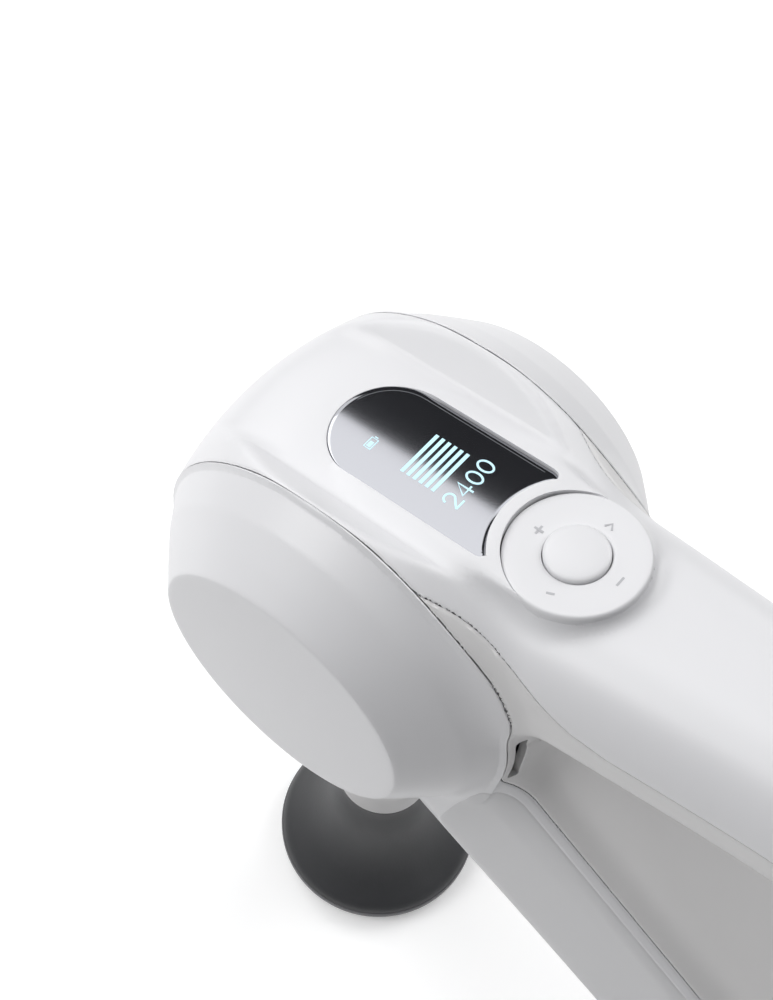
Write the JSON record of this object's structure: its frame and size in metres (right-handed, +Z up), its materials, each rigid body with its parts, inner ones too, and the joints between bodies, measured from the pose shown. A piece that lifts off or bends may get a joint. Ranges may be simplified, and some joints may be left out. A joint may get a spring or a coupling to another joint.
{
  "type": "massage gun",
  "caption": "Percussion massage gun: round motor drum, triangular handle, recessed display with rocker pad, and a vertical plunger with a soft flared head.",
  "frame": {"origin": "centre of the bounding box at its base, where the massage face and the handle's foot rest on one level surface", "axes": "+Z up along the plunger away from the massage face, +X from the drum back along the handle, +Y along the drum's axis to the right-hand side cover"},
  "size_m": [0.2543, 0.074, 0.2078],
  "materials": {
    "white_shell": "satin white moulded plastic",
    "pale_shell": "satin light grey moulded plastic",
    "grip": "soft-touch grey overlay",
    "display_cover": "glossy black cover lens",
    "display_panel": "black display panel",
    "circuit_board": "green board",
    "keys": "satin white keys",
    "soft_rubber": "grey silicone",
    "black_rubber": "black rubber seal",
    "spring_steel": "bright spring steel",
    "steel": "machined steel",
    "alloy": "machined aluminium",
    "copper_windings": "lacquered copper windings",
    "magnets": "dark magnet ring",
    "bushing": "plain bearing bronze",
    "dark_foam": "dark closed-cell foam",
    "dark_plastic": "dark moulded plastic",
    "cell_sleeve": "blue shrink sleeve"
  },
  "bodies": {
    "housing": {"battery_cell_1": "cell_sleeve", "battery_cell_2": "cell_sleeve", "battery_cradle": "dark_plastic", "centre_switch": "spring_steel", "charging_socket": "steel", "display_board": "circuit_board", "display_glass": "display_cover", "display_panel": "display_panel", "front_arm_grip": "grip", "front_bearing": "steel", "guide_sleeve": "alloy", "inner_frame": "pale_shell", "keypad_board": "circuit_board", "left_side_cover": "white_shell", "linear_bushing": "bushing", "main_board": "circuit_board", "motor_can": "steel", "motor_end_bell": "alloy", "motor_mount": "alloy", "motor_screw_1": "steel", "motor_screw_2": "steel", "motor_screw_3": "steel", "motor_stator": "copper_windings", "nose_ring": "pale_shell", "outer_housing": "white_shell", "pad_switch_1": "spring_steel", "pad_switch_2": "spring_steel", "pad_switch_3": "spring_steel", "pad_switch_4": "spring_steel", "rear_bearing": "steel", "right_side_cover": "white_shell", "shaft_seal": "black_rubber", "vent_grille_left": "dark_plastic", "vent_grille_right": "dark_plastic"},
    "crank": {"motor_shaft": "steel", "magnet_ring": "magnets", "crank_web": "steel", "crank_pin": "steel"},
    "plunger": {"plunger_shaft": "steel", "plunger_sleeve": "pale_shell", "wrist_pin": "steel"},
    "rod": {"connecting_rod": "alloy", "rod_bearing": "steel"},
    "attachment": {"attachment_stem": "dark_plastic", "attachment_head": "dark_foam"},
    "centre_button": {"centre_button": "keys"},
    "pad_cradle": {"keypad_membrane": "soft_rubber"},
    "control_pad": {"control_pad": "keys"}
  },
  "joints": [
    {"name": "crank_spin", "type": "hinge", "parent": "housing", "child": "crank", "pos_m": [-0.08392, 0, 0.15], "axis": [0, 1, 0], "continuous": true},
    {"name": "plunger_slide", "type": "slide", "parent": "housing", "child": "plunger", "axis": [0, 0, -1], "range_m": [0, 0.016]},
    {"name": "rod_swing", "type": "hinge", "parent": "plunger", "child": "rod", "pos_m": [-0.08392, 0, 0.12], "axis": [0, 1, 0], "range_deg": [-12, 12]},
    {"name": "attachment_pull", "type": "slide", "parent": "plunger", "child": "attachment", "axis": [0, 0, -1], "range_m": [0, 0.03]},
    {"name": "button_press", "type": "slide", "parent": "housing", "child": "centre_button", "axis": [0.1426, 0, -0.9898], "range_m": [0, 0.0006], "stiffness_N_per_m": 2000, "springref_m": -0.0002},
    {"name": "pad_rock_side", "type": "hinge", "parent": "housing", "child": "pad_cradle", "pos_m": [-0.05158, 0, 0.18709], "axis": [0.9898, 0, 0.1426], "range_deg": [-1.8, 1.8], "stiffness_Nm_per_rad": 0.5},
    {"name": "pad_rock_fore_aft", "type": "hinge", "parent": "pad_cradle", "child": "control_pad", "pos_m": [-0.05158, 0, 0.18709], "axis": [0, 1, 0], "range_deg": [-1.8, 1.8], "stiffness_Nm_per_rad": 0.5}
  ]
}
